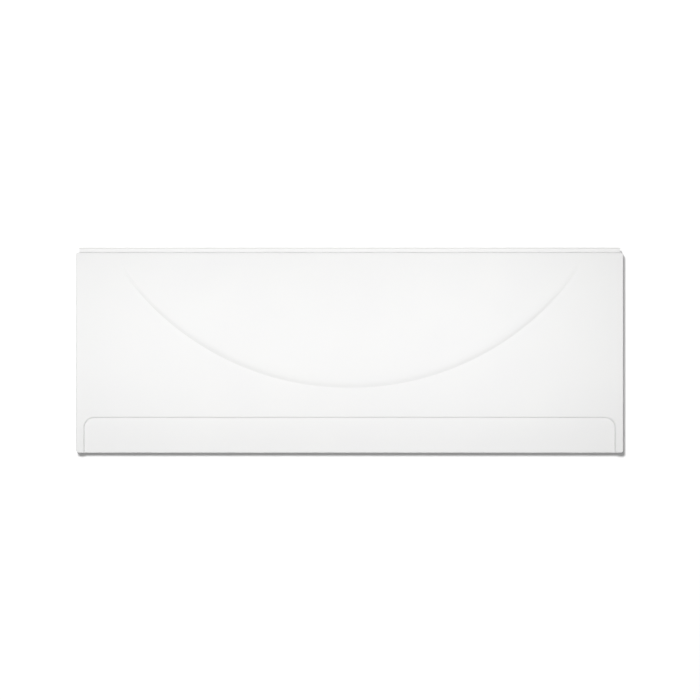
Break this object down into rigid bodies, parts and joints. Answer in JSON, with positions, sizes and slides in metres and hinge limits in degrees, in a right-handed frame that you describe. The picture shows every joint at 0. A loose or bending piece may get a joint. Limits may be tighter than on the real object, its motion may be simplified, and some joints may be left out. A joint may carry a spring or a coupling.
{
  "type": "bath panel",
  "caption": "White gloss formed front panel that closes the long side of a bathtub, with a shallow swell in its face, a set-back plinth and a top lip that tucks behind the bath's rim.",
  "frame": {"origin": "middle of the length and of the overall height, on the plane of the trimmed rim at the back", "axes": "+X along the length, +Y from the plinth to the top lip, +Z out of the face; the panel lies on its back"},
  "size_m": [1.5, 0.5624, 0.0522],
  "materials": {
    "acrylic": "white gloss face, satin back"
  },
  "bodies": {
    "root": {"bath_panel": "acrylic"}
  },
  "joints": []
}
